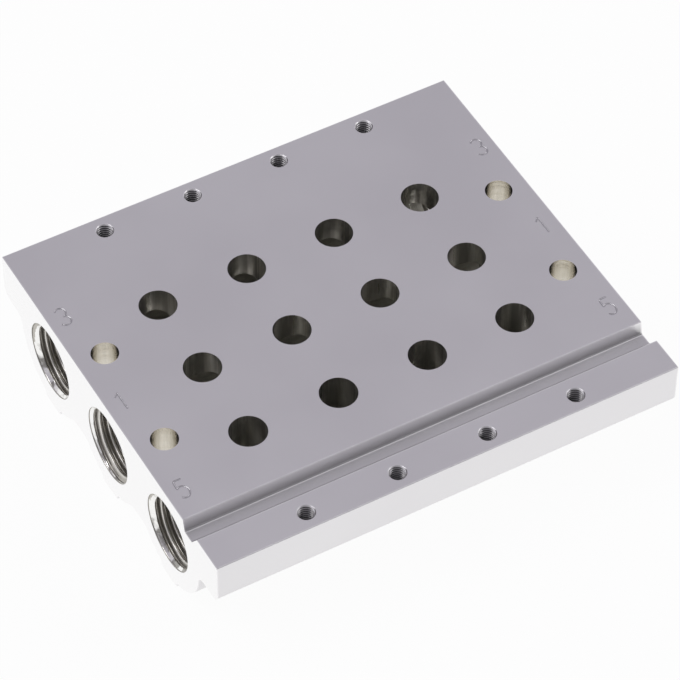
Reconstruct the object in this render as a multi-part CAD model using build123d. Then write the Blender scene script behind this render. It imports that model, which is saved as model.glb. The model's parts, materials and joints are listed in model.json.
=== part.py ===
from build123d import *
from math import radians, sqrt, tan
import os

os.makedirs("parts", exist_ok=True)

# A four-station air manifold block, cut from one aluminium extrusion. X runs along the extrusion,
# Y across it and Z up. The origin is at the middle of the block, on the plane of its feet.

# Valve stations along the block: three ports and two M3 screw holes each
station_count = 4
station_pitch = 16.0
end_land = 9.0
valve_port_spacing = 14.9
valve_port_radius = 3.1
screw_edge = 3.0
screw_radius = 1.5
screw_depth = 6.3

# Three round lobes under the plate, one round each air channel, each standing on a narrow foot
channel_spacing = 20.0
channel_radius = 5.15
channel_depth = 9.2
lobe_radius = 10.0
foot_drop = 0.8
foot_width = 5.0
foot_edge_radius = 0.4
foot_root_radius = 0.6
lobe_root_radius = 2.0
valley_width = 4.8
valley_corner_radius = 1.0

# The ledges along both sides, where the valves are screwed down
ledge_reach = 6.25
ledge_thickness = 8.5
ledge_corner_radius = 1.8
edge_radius = 0.2

# The groove along the top, between the valve face and the front land
front_land = 6.35
groove_depth = 2.4
groove_front_run = 1.7
groove_floor = 2.3
groove_back_run = 0.5
groove_floor_radius = 0.4
groove_lip_radius = 0.1

# G 1/4 ports in both ends of each channel, left at the thread's major diameter
port_thread_radius = 13.157 / 2
port_drill_radius = 11.445 / 2
port_thread_depth = 11.0
port_drill_depth = 13.0

# Through holes that bolt the block down, between the channels
mounting_edge = 5.0
mounting_radius = 2.25

drill_point_angle = 118.0
overcut = 1.0

length = station_count * station_pitch + 2 * end_land
width = 2 * (channel_spacing + lobe_radius + ledge_reach)
height = channel_depth + lobe_radius + foot_drop
channel_z = height - channel_depth
channel_ys = [-channel_spacing, 0.0, channel_spacing]
station_xs = [station_pitch * (i - (station_count - 1) / 2) for i in range(station_count)]


def round_corner(section, point, radius):
    """The section with the corner nearest to the point rounded."""
    corner = section.vertices().sort_by_distance(point)[0]
    return fillet(corner, radius)


def chord_half(radius, offset):
    """Half the width of a circle, measured at a distance from its centre."""
    return sqrt(radius**2 - offset**2)


def groove_section():
    """The groove's outline in Y and Z, open at the top, and the places of its two lips in Y."""
    floor_z = height - groove_depth
    front = front_land - width / 2
    floor_front = front + groove_front_run
    floor_back = floor_front + groove_floor
    back = floor_back + groove_back_run
    outline = Polyline(
        (back, height + overcut),
        (back, height),
        (floor_back, floor_z),
        (floor_front, floor_z),
        (front, height),
        (front, height + overcut),
        close=True,
    )
    section = make_face(outline)
    for y in (floor_back, floor_front):
        section = round_corner(section, (y, floor_z), groove_floor_radius)
    return section, (back, front)


def extrusion_section():
    """The extruded outline in Y and Z: a plate, two ledges, three lobes on feet, the web between."""
    ledge_z = height - ledge_thickness
    lobe_half = (channel_spacing - valley_width) / 2
    valley_z = channel_z - chord_half(lobe_radius, lobe_half)
    web_thickness = height - valley_z
    section = Pos(0, height - ledge_thickness / 2) * Rectangle(width, ledge_thickness)
    section += Pos(0, height - web_thickness / 2) * Rectangle(2 * channel_spacing, web_thickness)
    for y in channel_ys:
        section += Pos(y, channel_z) * Circle(lobe_radius)
        section += Pos(y, channel_z / 2) * Rectangle(foot_width, channel_z)
    section &= Pos(0, height / 2) * Rectangle(width, height)

    root_y = channel_spacing + chord_half(lobe_radius, channel_z - ledge_z)
    foot_root_z = channel_z - chord_half(lobe_radius, foot_width / 2)
    for side in (-1, 1):
        for y in channel_ys:
            foot_y = y + side * foot_width / 2
            section = round_corner(section, (foot_y, 0), foot_edge_radius)
            section = round_corner(section, (foot_y, foot_root_z), foot_root_radius)
        section = round_corner(section, (side * width / 2, height), edge_radius)
        section = round_corner(section, (side * width / 2, ledge_z), ledge_corner_radius)
        section = round_corner(section, (side * root_y, ledge_z), lobe_root_radius)
        for y in (lobe_half, channel_spacing - lobe_half):
            section = round_corner(section, (side * y, valley_z), valley_corner_radius)

    groove, groove_lips = groove_section()
    section -= groove
    for y in groove_lips:
        section = round_corner(section, (y, height), groove_lip_radius)
    return section


def drilling(radii_and_depths):
    """A turned cutter pointing down from z = 0: steps of radius and depth, then the drill's point."""
    mouth_radius = radii_and_depths[0][0]
    points = [(0, overcut), (mouth_radius, overcut)]
    for (radius, depth), (next_radius, _) in zip(radii_and_depths, radii_and_depths[1:]):
        points.append((radius, -depth))
        points.append((next_radius, -depth))
    radius, depth = radii_and_depths[-1]
    points.append((radius, -depth))
    points.append((0, -depth - radius / tan(radians(drill_point_angle / 2))))
    return revolve(make_face(Plane.XZ * Polyline(*points, close=True)), Axis.Z)


def block():
    """The extrusion sawn square to length, then bored along its channels and drilled from above."""
    body = extrude(Plane.YZ * extrusion_section(), length / 2, both=True)
    port = drilling([(port_thread_radius, port_thread_depth), (port_drill_radius, port_drill_depth)])
    for y in channel_ys:
        body -= Pos(0, y, channel_z) * Rot(0, 90, 0) * Cylinder(channel_radius, length)
        for side in (-1, 1):
            mouth = Plane((side * length / 2, y, channel_z), z_dir=(side, 0, 0))
            body -= mouth * port

    valve_port = drilling([(valve_port_radius, channel_depth)])
    screw_y = width / 2 - screw_edge
    screw_hole = drilling([(screw_radius, screw_depth)])
    for x in station_xs:
        for y in (-valve_port_spacing, 0, valve_port_spacing):
            body -= Pos(x, y, height) * valve_port
        for y in (-screw_y, screw_y):
            body -= Pos(x, y, height) * screw_hole

    mounting_x = length / 2 - mounting_edge
    mounting_hole = drilling([(mounting_radius, height + overcut)])
    for x in (-mounting_x, mounting_x):
        for y in (-channel_spacing / 2, channel_spacing / 2):
            body -= Pos(x, y, height) * mounting_hole
    return body


manifold_block = block()
export_step(manifold_block, "parts/manifold_block.step")
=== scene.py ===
import json
from collections import namedtuple
from math import cos, pi, radians, sin, tan

import bmesh
import bpy
import numpy as np
from mathutils import Matrix, Vector


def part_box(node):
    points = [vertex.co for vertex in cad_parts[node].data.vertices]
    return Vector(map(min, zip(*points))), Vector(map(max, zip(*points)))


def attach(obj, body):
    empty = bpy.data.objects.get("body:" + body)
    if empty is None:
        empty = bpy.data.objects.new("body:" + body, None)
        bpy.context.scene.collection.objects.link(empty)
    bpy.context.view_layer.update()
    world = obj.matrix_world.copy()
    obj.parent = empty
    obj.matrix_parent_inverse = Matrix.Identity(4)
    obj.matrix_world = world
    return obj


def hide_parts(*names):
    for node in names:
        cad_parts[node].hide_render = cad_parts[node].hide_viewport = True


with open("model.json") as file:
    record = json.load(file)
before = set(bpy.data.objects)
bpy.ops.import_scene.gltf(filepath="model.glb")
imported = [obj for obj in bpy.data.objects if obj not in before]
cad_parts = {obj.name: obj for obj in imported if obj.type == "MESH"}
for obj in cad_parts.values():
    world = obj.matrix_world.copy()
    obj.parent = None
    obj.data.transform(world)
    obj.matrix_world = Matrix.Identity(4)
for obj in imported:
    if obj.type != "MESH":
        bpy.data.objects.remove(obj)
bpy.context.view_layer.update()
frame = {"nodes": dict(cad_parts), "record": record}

# The looks of a four-station air manifold block. X runs along the extrusion, Y across it, Z up.
# Sizes are in metres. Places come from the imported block, its mounts and its openings.

MM = 0.001
X, Y, Z = range(3)
BODY = "root"
NODE = "manifold_block"

LOW, HIGH = (np.array(corner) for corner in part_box(NODE))
TOP = HIGH[Z]
HALF_LENGTH = HIGH[X]
MOUNTS = {mount["name"]: mount for mount in frame["record"]["mounts"]}
OPENINGS = frame["record"]["physics"]["openings"]

# The G 1/4 and M3 threads. The rim is the plain metal at the mouth, and the cone starts below it. The
# columns are a sleeve's points round the hole.
Thread = namedtuple("Thread", "pitch depth flank_angle rim cone_angle columns rows_per_pitch")
PORT_THREAD = Thread(
    pitch=1.337 * MM, depth=0.856 * MM, flank_angle=radians(27.5),
    rim=0.15 * MM, cone_angle=radians(45), columns=120, rows_per_pitch=16,
)
SCREW_THREAD = Thread(
    pitch=0.5 * MM, depth=0.27 * MM, flank_angle=radians(30),
    rim=0.0, cone_angle=radians(45), columns=48, rows_per_pitch=12,
)
SCREW_THREAD_LENGTH = 6.0 * MM

# Where a thread starts, as a share of a turn. The left ports' threads start as in the photograph.
PORT_STARTS = {"port_back_left": 0.64, "port_middle_left": 0.05, "port_front_left": 0.71}
PLAIN_START = 0.3

# A thread sleeve stands a gap off its hole's wall, sinks its seat into the metal and stays just below
# the face that the hole opens in.
WALL_GAP = 0.01 * MM
SEAT = 0.05 * MM
FLUSH = 0.004 * MM

# The drillings that are turned smooth again: channels with a stepped port at both ends, valve ports,
# screw holes and mounting holes. Valve ports and screw holes stop just short of the solid's. The shave
# is how much is taken off every wall.
CHANNEL_Z = MOUNTS["port_front_left"]["pos_m"][Z]
CHANNEL_RADIUS = 5.15 * MM
PORT_DRILL_RADIUS = 5.7225 * MM
PORT_DRILL_DEPTH = 13 * MM
DRILL_SLOPE = 1 / tan(radians(59))
VALVE_PORT_RADIUS = 3.1 * MM
VALVE_PORT_DEPTH = 9.1 * MM
SCREW_HOLE_DEPTH = 6.2 * MM
BORE_SIDES = 96
SHAVE = 0.003 * MM
OVERCUT = 1.0 * MM

# Port numbers engraved beside the three channels, at both ends, from the front row to the back. None
# lies further from the middle than their reach.
NUMBERS = ("5", "1", "3")
NUMBER_HEIGHT = 3.7 * MM
NUMBER_WIDTH = 1.8 * MM
NUMBER_FROM_END = 2.75 * MM
STROKE_WIDTH = 0.32 * MM
STROKE_DEPTH = 0.11 * MM
STROKE_STEP = 0.05 * MM
STROKE_SIDES = 12
ARC_POINTS = 24
NUMBERS_REACH = 23 * MM

# The groove's depth, and its middle and half width, measured from the front face
GROOVE_DEPTH = 2.4 * MM
GROOVE_MIDDLE = 8.6 * MM
GROOVE_HALF = 2.4 * MM

# Worn edges: how far the wear reaches and its colour, and half the distance between the groove's lips
WEAR_WIDTH = 0.28 * MM
WORN_METAL = (0.95, 0.94, 0.95, 1)
LIP_HALF = 2.25 * MM

# The block's finishes, by their place in its list of materials
SKIN, END, CHANNEL, VALVE_PORT, MOUNTING_HOLE, STROKE, GROOVE_FLOOR, GROOVE_WALL, GROOVE_SLOPE = range(9)

# Where two faces turn more than this from each other, the edge between them is sharp
BLOCK_CREASE = radians(32)
SLEEVE_CREASE = radians(50)

# Stands in for a length of nothing that something is divided by
TINY = 1e-18

# The floor's half width, and how much of it shows as plain white; the rest takes light and shadow
FLOOR_HALF = 6.0
WHITE_SHARE = 0.95

# The soft square lights: name, place, size and power in watts
LIGHTS = [
    ("left_light", (-0.7, 0.3, 1.2), 0.7, 5.0),
    ("right_light", (1.2, -0.4, 1.0), 0.7, 4.5),
    ("overhead_light", (0.42, 0.0, 1.33), 0.5, 0.5),
]


def new_object(name, mesh):
    """An object at the origin that shows the mesh."""
    made = bpy.data.objects.new(name, mesh)
    bpy.context.scene.collection.objects.link(made)
    return made


def mesh_from(name, points, faces):
    """A mesh from an array of points and a list of faces."""
    mesh = bpy.data.meshes.new(name)
    mesh.from_pydata(points.reshape(-1, 3).tolist(), [], faces)
    mesh.update()
    return mesh


def grid_faces(rows, columns, closed_rows):
    """Quads over a grid of points whose columns close on themselves.

    Face (i, j) joins points (i, j), (i, j + 1), (i + 1, j + 1) and (i + 1, j), modulo the grid's
    size. Where the rows don't close as well, the first and the last row each get a flat cap.
    """
    steps = rows if closed_rows else rows - 1
    i, j = np.meshgrid(np.arange(steps), np.arange(columns), indexing="ij")
    next_i, next_j = (i + 1) % rows, (j + 1) % columns
    corners = [i * columns + j, i * columns + next_j, next_i * columns + next_j, next_i * columns + j]
    faces = np.stack(corners, -1).reshape(-1, 4).tolist()
    if not closed_rows:
        ring = np.arange(columns)
        faces += [ring[::-1].tolist(), (ring + (rows - 1) * columns).tolist()]
    return faces


def turned_points(start, axis, distances, radii, columns):
    """A grid of points round an axis, with the radius a function of distance and turn.

    Point (i, j) is start + distance_i * axis + radius_ij * (cos t_j * side + sin t_j * up), where
    t_j runs once round. The side is up for a level axis and backwards for an upright one, and up
    is square to both.
    """
    axis = np.array(axis, float)
    side = np.array([0.0, 0.0, 1.0] if axis[Z] == 0 else [0.0, 1.0, 0.0])
    up = np.cross(axis, side)
    turn = 2 * pi * np.arange(columns) / columns
    radii = np.broadcast_to(radii, (len(distances), columns))[..., None]
    spokes = np.cos(turn)[:, None] * side + np.sin(turn)[:, None] * up
    return np.array(start) + np.array(distances)[:, None, None] * axis + radii * spokes


def turned_cutter(start, axis, profile):
    """The points and faces of a solid turned from pairs of distance and radius, closed at both ends."""
    distances, radii = np.array(profile).T
    points = turned_points(start, axis, distances, radii[:, None] + SHAVE, BORE_SIDES)
    return points.reshape(-1, 3), grid_faces(len(profile), BORE_SIDES, False)


def soft_clip(value, limit):
    """The value where it is small, bent smoothly to stay within the limit.

    It is the value over the sixth root of 1 plus the sixth power of the value over the limit.
    """
    bend = 6
    return value / (1 + np.abs(value / limit) ** bend) ** (1 / bend)


def thread_radii(turn, depth, wall_radius, thread, start):
    """The radii of a right-handed thread and of its mouth's cone, at a turn (0 to 1) and a depth.

    A triangle wave of depth / pitch + turn, with the flanks' slope, is clipped at the crest and the
    root. The cone narrows with depth, from the wall's radius at the end of the plain rim.
    """
    place = depth / thread.pitch + turn + start
    wave = 4 * np.abs(place - np.floor(place) - 0.5) - 1
    flank = wave * thread.pitch / 4 / tan(thread.flank_angle)
    ridges = wall_radius - thread.depth / 2 + soft_clip(flank, thread.depth / 2)
    cone = wall_radius - np.maximum(depth - thread.rim, 0) * tan(thread.cone_angle)
    return ridges, cone


def threaded_sleeve(name, mouth, axis, hole_radius, length, thread, start):
    """A thin sleeve that lines a plain hole with its thread.

    The mouth's cone takes the crests off, so the inner wall is at the larger of thread_radii. The
    outer wall lies just inside the metal. Both are rows of one closed grid: down the inside, then
    back up the outside. Faces get finish 1 on the cone, 2 on the flat ring at the mouth, or 0. The
    attribute "height" is how far a point stands above the thread's root, from 0 to 1 at the crest.
    """
    rows, columns = int(thread.rows_per_pitch * length / thread.pitch), thread.columns
    depth = np.linspace(FLUSH, length, rows)[:, None]
    turn = np.arange(columns)[None, :] / columns
    ridges, cone = thread_radii(turn, depth, hole_radius - WALL_GAP, thread, start)
    outer = np.full((2, columns), hole_radius + SEAT)
    depths = np.concatenate([depth[:, 0], [length, FLUSH]])
    radii = np.vstack([np.maximum(ridges, cone), outer])
    points = turned_points(mouth, axis, -depths, radii, columns)
    mesh = mesh_from(name, points, grid_faces(rows + 2, columns, True))
    height = np.clip((hole_radius - WALL_GAP - radii) / thread.depth, 0, 1)
    mesh.attributes.new("height", "FLOAT", "POINT").data.foreach_set("value", height.ravel())
    finish = np.zeros((rows + 2, columns), np.int32)
    finish[:rows][(cone > ridges) & (depth > thread.rim)] = 1
    finish[-1] = 2
    mesh.polygons.foreach_set("material_index", finish.ravel())
    mesh.shade_smooth()
    mesh.set_sharp_from_angle(angle=SLEEVE_CREASE)
    return new_object(name, mesh)


def arc(centre, radii, start, end):
    """Points round an ellipse from one angle to another, in degrees."""
    angle = np.radians(np.linspace(start, end, ARC_POINTS))
    return np.stack([centre[0] + radii[0] * np.cos(angle), centre[1] + radii[1] * np.sin(angle)], -1)


def number_lines(number):
    """A number's strokes, as lines of points in a box one unit wide and one unit high."""
    if number == "3":
        return [arc((-0.02, 0.25), (0.48, 0.25), 155, -90), arc((-0.02, -0.25), (0.52, 0.25), 90, -155)]
    if number == "5":
        bowl = arc((-0.05, -0.18), (0.53, 0.32), 138, -140)
        return [[(0.42, 0.5), (-0.36, 0.5)], [(-0.36, 0.5), (-0.42, 0.06)], bowl]
    return [[(-0.35, 0.28), (0.08, 0.5)], [(0.08, 0.5), (0.08, -0.5)]]


def stroke_cutter(line, centre):
    """An engraved stroke's cutter: an elliptic tube laid along a line, half sunk into the top face.

    Point (i, j) is line_i + taper_i * (half width * cos t_j * normal_i + depth * sin t_j * up). The
    taper falls along a quarter circle over the last half width, as a round-nosed tool leaves it, and
    stops just short of a point.
    """
    line = np.array(line) * [NUMBER_WIDTH, NUMBER_HEIGHT] + centre
    travelled = np.concatenate([[0], np.cumsum(np.linalg.norm(np.diff(line, axis=0), axis=1))])
    total = travelled[-1]
    along = np.linspace(0, total, int(total / STROKE_STEP))
    path = np.stack([np.interp(along, travelled, line[:, k]) for k in (0, 1)], -1)
    run = np.gradient(path, along, axis=0)
    run /= np.linalg.norm(run, axis=1)[:, None]
    normal = np.stack([-run[:, 1], run[:, 0]], -1)
    half = STROKE_WIDTH / 2
    furthest = 0.98
    from_end = np.minimum(along, total - along) / half
    taper = np.sqrt(1 - np.clip(1 - from_end, 0, furthest) ** 2)[:, None]
    t = 2 * pi * np.arange(STROKE_SIDES)[None, :] / STROKE_SIDES
    across = taper * half * np.cos(t)
    rise = taper * STROKE_DEPTH * np.sin(t)
    flat = path[:, None, :] + across[..., None] * normal[:, None, :]
    points = np.concatenate([flat, TOP + rise[..., None]], -1)
    return points.reshape(-1, 3), grid_faces(len(along), STROKE_SIDES, False)


def carve(block, cutters):
    """Takes the cutters' volume out of the block's mesh."""
    scratch = bmesh.new()
    for points, faces in cutters:
        corners = [scratch.verts.new(point) for point in points]
        for face in faces:
            scratch.faces.new([corners[index] for index in face])
    bmesh.ops.recalc_face_normals(scratch, faces=scratch.faces)
    mesh = bpy.data.meshes.new("cutter")
    scratch.to_mesh(mesh)
    scratch.free()
    cutter = new_object("cutter", mesh)
    cut = block.modifiers.new("cut", "BOOLEAN")
    cut.operation, cut.solver, cut.object, cut.use_self = "DIFFERENCE", "EXACT", cutter, True
    bpy.context.view_layer.update()
    carved = block.evaluated_get(bpy.context.evaluated_depsgraph_get())
    block.data = bpy.data.meshes.new_from_object(carved)
    block.modifiers.clear()
    bpy.data.objects.remove(cutter)


def pattern_places(mount):
    """The holes of a bolt pattern: its centre plus or minus half of each spacing."""
    dims, (x, y, _) = mount["dims"], mount["pos_m"]
    half_x = dims.get("spacing_x_mm", 0) * MM / 2
    half_y = dims.get("spacing_y_mm", 0) * MM / 2
    return sorted({(x + i * half_x, y + j * half_y) for i in (-1, 1) for j in (-1, 1)})


def upright_holes():
    """Place, radius and depth of every hole drilled down from the top face."""
    found = []
    for name, mount in MOUNTS.items():
        if mount["kind"] == "bolt_pattern":
            depth = SCREW_HOLE_DEPTH if name.startswith("valve_screws") else TOP + OVERCUT
            found += [(x, y, mount["dims"]["hole_r_mm"] * MM, depth) for x, y in pattern_places(mount)]
    for opening in OPENINGS:
        if opening["name"].startswith("valve_port"):
            x, y, _ = np.mean(opening["box_m"], axis=0)
            found.append((x, y, VALVE_PORT_RADIUS, VALVE_PORT_DEPTH))
    return found


def port_mounts():
    """The six end ports, by name."""
    return {name: mount for name, mount in MOUNTS.items() if name.startswith("port_")}


def channel_cutters():
    """One turned cutter for each channel, with its stepped port at both ends."""
    cutters = []
    for name, mount in port_mounts().items():
        if name.endswith("_left"):
            mouth_radius = mount["dims"]["r_mm"] * MM
            thread_end = mount["dims"]["length_mm"] * MM + SHAVE
            tip = PORT_DRILL_DEPTH + (PORT_DRILL_RADIUS - CHANNEL_RADIUS) * DRILL_SLOPE
            half = [
                (-OVERCUT, mouth_radius),
                (thread_end, mouth_radius),
                (thread_end, PORT_DRILL_RADIUS),
                (PORT_DRILL_DEPTH + SHAVE, PORT_DRILL_RADIUS),
                (tip + SHAVE, CHANNEL_RADIUS),
            ]
            profile = half + [(2 * HALF_LENGTH - depth, radius) for depth, radius in reversed(half)]
            cutters.append(turned_cutter(mount["pos_m"], (1, 0, 0), profile))
    return cutters


def smooth_holes(block):
    """Turns every drilling again, round, a few thousandths of a millimetre larger than its facets."""
    carve(block, channel_cutters())
    carve(block, [
        turned_cutter((x, y, TOP), (0, 0, -1), [(-OVERCUT, radius), (depth, radius)])
        for x, y, radius, depth in upright_holes()
    ])


def engrave_numbers(block):
    """Engraves each port's number into the top face at both ends of its channel."""
    channel_ys = sorted({mount["pos_m"][Y] for mount in port_mounts().values()})
    cutters = []
    for number, y in zip(NUMBERS, channel_ys):
        for end in (-1, 1):
            centre = np.array([end * (HALF_LENGTH - NUMBER_FROM_END), y])
            cutters += [stroke_cutter(line, centre) for line in number_lines(number)]
    carve(block, cutters)


def merged_copy(node, name):
    """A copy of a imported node's mesh with its loose triangles joined at their corners."""
    merged_within = 0.001 * MM
    scratch = bmesh.new()
    scratch.from_mesh(frame["nodes"][node].data)
    bmesh.ops.remove_doubles(scratch, verts=scratch.verts, dist=merged_within)
    mesh = bpy.data.meshes.new(name)
    scratch.to_mesh(mesh)
    scratch.free()
    mesh.materials.clear()
    return new_object(name, mesh)


def read(collection, key, kind, width=1):
    """One property of every item of a mesh's collection, as an array."""
    values = np.zeros(len(collection) * width, kind)
    collection.foreach_get(key, values)
    return values.reshape(-1, width) if width > 1 else values


def set_corner_normals(mesh, crease):
    """Gives flat faces flat shading and round ones smooth shading.

    A corner's normal is the sum of the normals of the faces round its vertex that turn less than
    the crease from the corner's own face, each times its area and its angle at the vertex.
    """
    vertex = read(mesh.loops, "vertex_index", np.int32)
    start = read(mesh.polygons, "loop_start", np.int32)
    total = read(mesh.polygons, "loop_total", np.int32)
    normals = read(mesh.polygons, "normal", np.float32, 3)
    areas = read(mesh.polygons, "area", np.float32)
    places = read(mesh.vertices, "co", np.float32, 3)[vertex].astype(float)
    face = np.repeat(np.arange(len(total)), total)
    step = np.arange(len(vertex)) - start[face]
    to_next = places[start[face] + (step + 1) % total[face]] - places
    to_last = places[start[face] + (step - 1) % total[face]] - places
    lengths = np.linalg.norm(to_next, axis=1) * np.linalg.norm(to_last, axis=1)
    angle = np.arccos(np.clip((to_next * to_last).sum(1) / np.maximum(lengths, TINY), -1, 1))
    weighted = (areas[face] * angle)[:, None] * normals[face]

    order = np.argsort(vertex, kind="stable")
    counts = np.bincount(vertex, minlength=vertex.max() + 1)
    first_of = np.cumsum(counts) - counts
    valence = counts[vertex[order]]
    own = np.repeat(order, valence)
    rank = np.arange(len(own)) - np.repeat(np.cumsum(valence) - valence, valence)
    other = order[np.repeat(first_of[vertex[order]], valence) + rank]
    near = (normals[face[own]] * normals[face[other]]).sum(1) > cos(crease)
    sums = np.zeros((len(vertex), 3))
    np.add.at(sums, own[near], weighted[other[near]])
    sums /= np.maximum(np.linalg.norm(sums, axis=1), TINY)[:, None]
    mesh.normals_split_custom_set(sums.tolist())


class Nodes:
    """A node tree in short words: each call adds one node and returns its output."""

    def __init__(self, owner):
        owner.use_nodes = True
        self.tree = owner.node_tree
        self.tree.nodes.clear()

    def add(self, kind, inputs=(), output=0, **settings):
        node = self.tree.nodes.new(kind)
        for key, value in settings.items():
            setattr(node, key, value)
        for key, value in inputs.items() if isinstance(inputs, dict) else enumerate(inputs):
            if isinstance(value, bpy.types.NodeSocket):
                self.tree.links.new(value, node.inputs[key])
            else:
                node.inputs[key].default_value = value
        return node.outputs[output]

    def math(self, operation, *values):
        return self.add("ShaderNodeMath", values, operation=operation)

    def vector(self, operation, *values):
        scalar = operation in ("LENGTH", "DISTANCE", "DOT_PRODUCT")
        return self.add("ShaderNodeVectorMath", values, "Value" if scalar else 0, operation=operation)

    def place(self):
        return self.add("ShaderNodeTexCoord", output="Object")

    def along(self, place, axis):
        return self.add("ShaderNodeSeparateXYZ", (place,), axis)

    def noise(self, place, per_metre, detail=3.0):
        return self.add("ShaderNodeTexNoise", {"Vector": place, "Scale": per_metre, "Detail": detail})

    def spread(self, value, low, high, to_low=0.0, to_high=1.0, smooth=False):
        inputs = (value, low, high, to_low, to_high)
        kind = "SMOOTHSTEP" if smooth else "LINEAR"
        return self.add("ShaderNodeMapRange", inputs, interpolation_type=kind)

    def mix(self, share, first, second):
        inputs = {"Factor": share, "A": first, "B": second}
        return self.add("ShaderNodeMix", inputs, "Result", data_type="RGBA")

    def bump(self, height, distance, strength):
        return self.add("ShaderNodeBump", {"Height": height, "Distance": distance, "Strength": strength})

    def finish(self, shader, output="ShaderNodeOutputMaterial"):
        self.tree.links.new(shader, self.tree.nodes.new(output).inputs["Surface"])


def metal(name, build, graze=(1.0, 1.0, 1.0, 1)):
    """A metallic material, from a function of its nodes that returns colour, roughness and normal.

    The graze is the tint of what the metal reflects at a grazing angle. Below white, it darkens walls
    seen edge-on, as painted shade.
    """
    material = bpy.data.materials.new(name)
    nodes = Nodes(material)
    colour, roughness, normal = build(nodes)
    inputs = {
        "Base Color": colour,
        "Roughness": roughness,
        "Normal": normal,
        "Metallic": 1.0,
        "Specular Tint": graze,
    }
    nodes.finish(nodes.add("ShaderNodeBsdfPrincipled", inputs))
    return material


def worn_edges(nodes, place):
    """How much an edge is worn, from 0 to 1, in patches.

    Wear is the larger of two: nearness to the sawn ends, and nearness to the top face times nearness
    to the long edges or to the groove's lips. Each falls from 1 at its edge to 0 at the wear's width.
    """
    def near(distance):
        return nodes.spread(distance, 0.0, WEAR_WIDTH, 1.0, 0.0)

    x, y, z = (nodes.along(place, axis) for axis in (X, Y, Z))
    end = near(nodes.math("SUBTRACT", HALF_LENGTH, nodes.math("ABSOLUTE", x)))
    side = near(nodes.math("SUBTRACT", HIGH[Y], nodes.math("ABSOLUTE", y)))
    across = nodes.math("ABSOLUTE", nodes.math("SUBTRACT", y, LOW[Y] + GROOVE_MIDDLE))
    lip = near(nodes.math("ABSOLUTE", nodes.math("SUBTRACT", across, LIP_HALF)))
    top = near(nodes.math("SUBTRACT", TOP, z))
    long_edge = nodes.math("MULTIPLY", nodes.math("MAXIMUM", side, lip), top)
    patches = nodes.spread(nodes.noise(place, 350.0), 0.35, 0.6, 0.45, 1.0)
    return nodes.math("MULTIPLY", nodes.math("MAXIMUM", end, long_edge), patches)


def anodised(dark, light, die_marks, shaded_share=1.0, gloss=(0.31, 0.35)):
    """Satin anodised extrusion with worn edges: die lines along X, a fine grain, uneven gloss.

    The colour falls evenly with depth, from all of it at the top face to the shaded share of it at
    the groove's floor, as painted shade.
    """
    def build(nodes):
        place = nodes.place()
        lines = nodes.noise(nodes.vector("MULTIPLY", place, (0.03, 1.0, 1.0)), 5200.0, 2.0)
        grain = nodes.noise(place, 9000.0, 2.0)
        clouds = nodes.noise(place, 45.0)
        colour = nodes.mix(nodes.spread(clouds, 0.35, 0.65), dark, light)
        # Painted shade: the colour darkens evenly with depth down the groove's wall.
        depth_shade = nodes.spread(nodes.along(place, Z), TOP - GROOVE_DEPTH, TOP, shaded_share, 1.0)
        colour = nodes.mix(worn_edges(nodes, place), nodes.vector("MULTIPLY", colour, depth_shade), WORN_METAL)
        streaks = nodes.math("MULTIPLY", lines, 0.03)
        roughness = nodes.math("ADD", nodes.spread(clouds, 0.3, 0.7, *gloss), streaks)
        return colour, roughness, nodes.bump(nodes.math("ADD", lines, grain), die_marks, 0.35)
    return build


def milled_end(nodes):
    """Bright milled metal: shallow arcs round the cutter's centre at its feed, a little uneven."""
    cutter_centre = (0.0, 12 * MM, -38 * MM)
    feed = 0.42 * MM
    place = nodes.place()
    distance = nodes.vector("DISTANCE", place, cutter_centre)
    arcs = nodes.math("SINE", nodes.math("MULTIPLY", distance, 2 * pi / feed))
    uneven = nodes.noise(place, 220.0)
    height = nodes.math("MULTIPLY", arcs, nodes.spread(uneven, 0.3, 0.7, 0.2, 1.0))
    colour = nodes.mix(uneven, (0.95, 0.945, 0.95, 1), (0.985, 0.98, 0.98, 1))
    roughness = nodes.spread(uneven, 0.3, 0.7, 0.2, 0.27)
    return colour, roughness, nodes.bump(height, 0.0006 * MM, 0.4)


def drilled(axis, dark, light, feed, gloss, ring_depth):
    """A drilled wall: rings round the hole at the drill's feed, lines that chips dragged along it.

    The rings are a sine of the way along the axis, over a noise that is drawn out round the hole. The
    lines are a noise that is drawn out along the axis.
    """
    drawn_out = 0.06
    uneven_share = 50.0

    def build(nodes):
        place = nodes.place()
        round_hole = [1.0 if k == axis else drawn_out for k in (X, Y, Z)]
        down_hole = [drawn_out if k == axis else 1.0 for k in (X, Y, Z)]
        uneven = nodes.noise(nodes.vector("MULTIPLY", place, round_hole), 800.0, 1.0)
        drag = nodes.noise(nodes.vector("MULTIPLY", place, down_hole), 700.0)
        rings = nodes.math("SINE", nodes.math("MULTIPLY", nodes.along(place, axis), 2 * pi / feed))
        height = nodes.math("ADD", rings, nodes.math("MULTIPLY", uneven, uneven_share))
        colour = nodes.mix(nodes.spread(drag, 0.42, 0.66), dark, light)
        return colour, nodes.spread(drag, 0.3, 0.7, *gloss), nodes.bump(height, ring_depth, 0.5)
    return build


def cut_thread(root, crest):
    """Cut thread: grooves painted darker than the crests as painted shade, crests lighter in patches
    where the tap burnished them, and fine chatter.
    """
    def build(nodes):
        place = nodes.place()
        chatter = nodes.noise(place, 1800.0)
        patches = nodes.noise(place, 420.0)
        height = nodes.add("ShaderNodeAttribute", output="Fac", attribute_name="height")
        near_crest = nodes.spread(height, 0.45, 0.95, smooth=True)
        worn = nodes.math("MULTIPLY", near_crest, nodes.spread(patches, 0.35, 0.6, 0.45, 1.0))
        colour = nodes.mix(worn, root, crest)
        return colour, nodes.spread(patches, 0.3, 0.7, 0.28, 0.42), nodes.bump(chatter, 0.004 * MM, 0.4)
    return build


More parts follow.
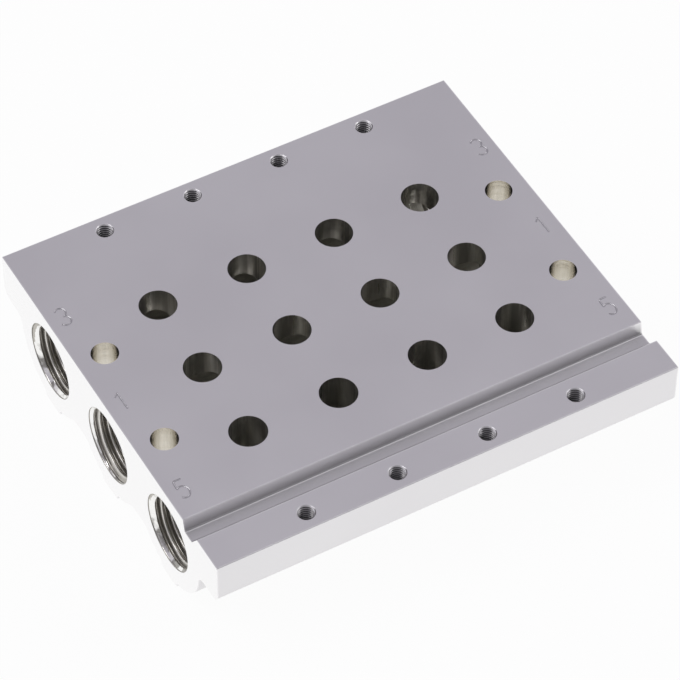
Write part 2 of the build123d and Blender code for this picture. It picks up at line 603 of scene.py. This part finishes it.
def turned_mouth(nodes):
    """The cone at a port's mouth: bright metal, dented where the countersink chattered.

    Its lower part is painted darker in blotches, as painted shade.
    """
    mouth_shade_colour = (0.36, 0.35, 0.33, 1)
    unshaded_above, darkest_below = CHANNEL_Z - 1 * MM, CHANNEL_Z - 4 * MM
    place = nodes.place()
    chatter = nodes.noise(place, 900.0, 2.0)
    colour = nodes.mix(chatter, (0.90, 0.89, 0.87, 1), (0.97, 0.965, 0.95, 1))
    # Painted shade: dark blotches towards the bottom of the cone.
    low = nodes.spread(nodes.along(place, Z), darkest_below, unshaded_above, 1.0, 0.0)
    mouth_shade = nodes.math("MULTIPLY", low, nodes.spread(nodes.noise(place, 520.0, 2.0), 0.46, 0.58))
    colour = nodes.mix(mouth_shade, colour, mouth_shade_colour)
    return colour, nodes.spread(chatter, 0.3, 0.7, 0.15, 0.24), nodes.bump(chatter, 0.15 * MM, 0.5)


def engraved_stroke(nodes):
    """The rough floor of an engraved number."""
    grain = nodes.noise(nodes.place(), 6000.0)
    colour = nodes.mix(grain, (0.42, 0.41, 0.43, 1), (0.62, 0.61, 0.63, 1))
    return colour, nodes.spread(grain, 0.3, 0.7, 0.3, 0.42), nodes.bump(grain, 0.004 * MM, 0.5)


def finish_block(block, finishes):
    """Gives each face of the block its finish, by where its middle is and how it faces.

    A face belongs to an end where it faces along X there. It belongs to a hole where its middle is
    within the hole's radius of the axis and it faces the axis, or is one of a channel's steps. Just
    under the top face near an end it belongs to a stroke. Between the groove's lips it belongs to
    the groove's wall where it faces forwards, to its slope where it faces back, or to its floor.
    Every other face is skin.
    """
    mesh = block.data
    for finish in finishes:
        mesh.materials.append(finish)
    centres, normals = (read(mesh.polygons, key, np.float32, 3) for key in ("center", "normal"))
    facing = np.abs(normals)
    from_end = HALF_LENGTH - np.abs(centres[:, X])
    sunk = TOP - centres[:, Z]
    index = np.full(len(centres), SKIN, np.int32)

    square, sawn_within = 0.6, 0.3 * MM
    index[(facing[:, X] > square) & (from_end < sawn_within)] = END

    step, channel_margin = 0.3, 0.1 * MM
    for mount in port_mounts().values():
        across = centres[:, 1:] - mount["pos_m"][1:]
        within = np.hypot(*across.T) < mount["dims"]["r_mm"] * MM + channel_margin
        inwards = ((across * normals[:, 1:]).sum(1) < 0) | (facing[:, X] > step)
        index[within & inwards & (from_end > SEAT)] = CHANNEL

    level = 0.95
    for x, y, radius, depth in upright_holes():
        within = np.hypot(*(centres[:, :2] - [x, y]).T) < radius + SEAT
        wall = MOUNTING_HOLE if depth > TOP else VALVE_PORT
        index[within & (facing[:, Z] < level) & (index != CHANNEL)] = wall

    clear_of_top = SEAT / 10
    numbered = (from_end < NUMBER_FROM_END + NUMBER_WIDTH) & (np.abs(centres[:, Y]) < NUMBERS_REACH)
    engraved = (sunk > clear_of_top) & (sunk < STROKE_DEPTH + SEAT)
    index[numbered & engraved & (index == SKIN)] = STROKE

    slanted = 0.5
    between_lips = np.abs(centres[:, Y] - LOW[Y] - GROOVE_MIDDLE) < GROOVE_HALF
    grooved = (sunk > clear_of_top) & (sunk < GROOVE_DEPTH + SEAT)
    groove = between_lips & grooved & (index == SKIN)
    index[groove] = GROOVE_FLOOR
    index[groove & (normals[:, Y] < -slanted)] = GROOVE_WALL
    index[groove & (normals[:, Y] > slanted)] = GROOVE_SLOPE
    mesh.polygons.foreach_set("material_index", index)
    mesh.update()


def make_block(skin, milled):
    """The block with round holes and its numbers engraved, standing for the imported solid."""
    block = merged_copy(NODE, "numbered_block")
    smooth_holes(block)
    engrave_numbers(block)
    block.data.shade_smooth()
    set_corner_normals(block.data, BLOCK_CREASE)
    channel = drilled(
        X, (0.68, 0.67, 0.61, 1), (0.82, 0.80, 0.75, 1),
        feed=0.35 * MM, gloss=(0.34, 0.46), ring_depth=0.003 * MM,
    )
    # The valve ports' grazing tint darkens their sides as painted shade.
    valve_port = drilled(
        Z, (0.48, 0.47, 0.435, 1), (0.86, 0.845, 0.80, 1),
        feed=0.28 * MM, gloss=(0.48, 0.26), ring_depth=0.004 * MM,
    )
    # Painted light: the mounting holes' walls are pale and warm, for the light that comes up through them
    # from the floor. Their grazing tint paints shade on their sides.
    mounting_hole = drilled(
        Z, (0.83, 0.81, 0.765, 1), (0.96, 0.94, 0.90, 1),
        feed=0.5 * MM, gloss=(0.14, 0.24), ring_depth=0.003 * MM,
    )
    # The groove's floor is a shade darker than the skin. Its wall is lighter than the skin at the top and
    # darkens to under half of that at its foot, as painted light and shade.
    floor = anodised(
        (0.69, 0.68, 0.692, 1), (0.71, 0.70, 0.712, 1), die_marks=0.004 * MM)
    wall = anodised(
        (0.87, 0.86, 0.872, 1), (0.89, 0.88, 0.892, 1), die_marks=0.004 * MM, shaded_share=0.45)
    slope = anodised(
        (0.79, 0.78, 0.792, 1), (0.81, 0.80, 0.812, 1), die_marks=0.002 * MM, gloss=(0.65, 0.72))
    finish_block(block, [
        skin,
        milled,
        metal("bored_channel", channel),
        metal("drilled_valve_port", valve_port, graze=(0.5, 0.5, 0.5, 1)),
        metal("drilled_mounting_hole", mounting_hole, graze=(0.45, 0.43, 0.40, 1)),
        metal("engraved_stroke", engraved_stroke),
        metal("darker_groove_floor", floor),
        metal("groove_wall_painted_shade", wall),
        metal("matt_groove_slope", slope),
    ])
    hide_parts(NODE)
    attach(block, BODY)


def make_threads(skin, milled):
    """One sleeve for each port and each screw hole, at the places that the mounts give."""
    # Painted shade: the thread roots are darker than the crests, dark grey in the ports and nearly black
    # in the narrow screw holes.
    port_cut = metal("cut_port_thread", cut_thread((0.52, 0.50, 0.46, 1), (0.80, 0.78, 0.74, 1)))
    screw_cut = metal("cut_screw_thread", cut_thread((0.15, 0.145, 0.15, 1), (0.68, 0.665, 0.685, 1)))
    port_finishes = (port_cut, metal("turned_port_mouth", turned_mouth), milled)
    screw_finishes = (screw_cut, skin, skin)
    made = []
    for name, mount in port_mounts().items():
        radius, length = mount["dims"]["r_mm"] * MM, mount["dims"]["length_mm"] * MM
        start = PORT_STARTS.get(name, PLAIN_START)
        title = name.replace("port_", "port_thread_")
        sleeve = threaded_sleeve(title, mount["pos_m"], mount["axis"], radius, length, PORT_THREAD, start)
        made.append((sleeve, port_finishes))
    for name, mount in MOUNTS.items():
        if name.startswith("valve_screws"):
            radius = mount["dims"]["hole_r_mm"] * MM
            for side, (x, y) in zip(("front", "back"), pattern_places(mount)):
                sleeve = threaded_sleeve(
                    f"{name}_thread_{side}", (x, y, TOP), mount["axis"], radius,
                    SCREW_THREAD_LENGTH, SCREW_THREAD, PLAIN_START,
                )
                made.append((sleeve, screw_finishes))
    for sleeve, finishes in made:
        for finish in finishes:
            sleeve.data.materials.append(finish)
        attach(sleeve, BODY)


def make_floor():
    """A white floor that shows itself as white and still keeps part of the block's shadow."""
    square = ((-1, -1), (1, -1), (1, 1), (-1, 1))
    corners = np.array([(x * FLOOR_HALF, y * FLOOR_HALF, LOW[Z]) for x, y in square])
    floor = new_object("floor", mesh_from("floor", corners, [[0, 1, 2, 3]]))
    material = bpy.data.materials.new("white_floor")
    nodes = Nodes(material)
    path = nodes.tree.nodes.new("ShaderNodeLightPath").outputs
    shown = nodes.math("MAXIMUM", path["Is Camera Ray"], path["Is Glossy Ray"])
    shown = nodes.math("MAXIMUM", shown, path["Is Transmission Ray"])
    share = nodes.math("MULTIPLY", shown, WHITE_SHARE)
    matt = nodes.add("ShaderNodeBsdfDiffuse", {"Color": (0.92, 0.92, 0.92, 1)})
    white = nodes.add("ShaderNodeEmission", {"Color": (1, 1, 1, 1), "Strength": 1.0})
    nodes.finish(nodes.add("ShaderNodeMixShader", (share, matt, white)))
    floor.data.materials.append(material)


def make_world():
    """A plain studio: white low down behind and at the sides, grey overhead, darker in front."""
    world = bpy.data.worlds.new("studio")
    bpy.context.scene.world = world
    nodes = Nodes(world)
    direction = nodes.add("ShaderNodeTexCoord", output="Generated")
    back, up = nodes.along(direction, Y), nodes.along(direction, Z)
    white = (1.0, 1.0, 1.0, 1)
    sky = (0.455, 0.438, 0.482, 1)
    dim = (0.30, 0.295, 0.312, 1)
    behind = nodes.mix(nodes.spread(up, 0.0, 0.35, smooth=True), white, sky)
    ahead = nodes.mix(nodes.spread(up, 0.0, 0.15, smooth=True), white, dim)
    colour = nodes.mix(nodes.spread(back, -0.5, 0.1, smooth=True), ahead, behind)
    nodes.finish(nodes.add("ShaderNodeBackground", {"Color": colour}), "ShaderNodeOutputWorld")


def area_light(name, place, size, power):
    """A square soft light at a place, turned to face the block."""
    data = bpy.data.lights.new(name, "AREA")
    data.shape, data.size, data.energy = "SQUARE", size, power
    light = bpy.data.objects.new(name, data)
    bpy.context.scene.collection.objects.link(light)
    light.location = place
    light.rotation_euler = (-Vector(place)).to_track_quat("-Z", "Y").to_euler()


def make_camera():
    """A long lens above the left end and the grooved side, with its picture turned a little."""
    azimuth, elevation, roll = radians(29.987), radians(48.840), radians(0.647)
    place = Vector((-0.208586, -0.362768, 0.491800))
    forward = Vector((sin(azimuth) * cos(elevation), cos(azimuth) * cos(elevation), -sin(elevation)))
    level = Vector((cos(azimuth), -sin(azimuth), 0.0))
    upright = level.cross(forward)
    right = level * cos(roll) + upright * sin(roll)
    up = upright * cos(roll) - level * sin(roll)
    data = bpy.data.cameras.new("camera")
    data.sensor_width = 36.0
    data.lens = 210.97
    data.clip_start, data.clip_end = 0.01, 50.0
    camera = bpy.data.objects.new("camera", data)
    bpy.context.scene.collection.objects.link(camera)
    turn = Matrix((right, up, -forward)).transposed()
    camera.matrix_world = Matrix.Translation(place) @ turn.to_4x4()
    bpy.context.scene.camera = camera


bpy.context.scene.view_settings.view_transform = "Standard"
make_camera()
satin = anodised((0.790, 0.778, 0.792, 1), (0.812, 0.801, 0.814, 1), die_marks=0.002 * MM)
skin = metal("satin_anodised_aluminium", satin)
milled = metal("milled_end_aluminium", milled_end)
make_block(skin, milled)
make_threads(skin, milled)
make_floor()
make_world()
for light in LIGHTS:
    area_light(*light)
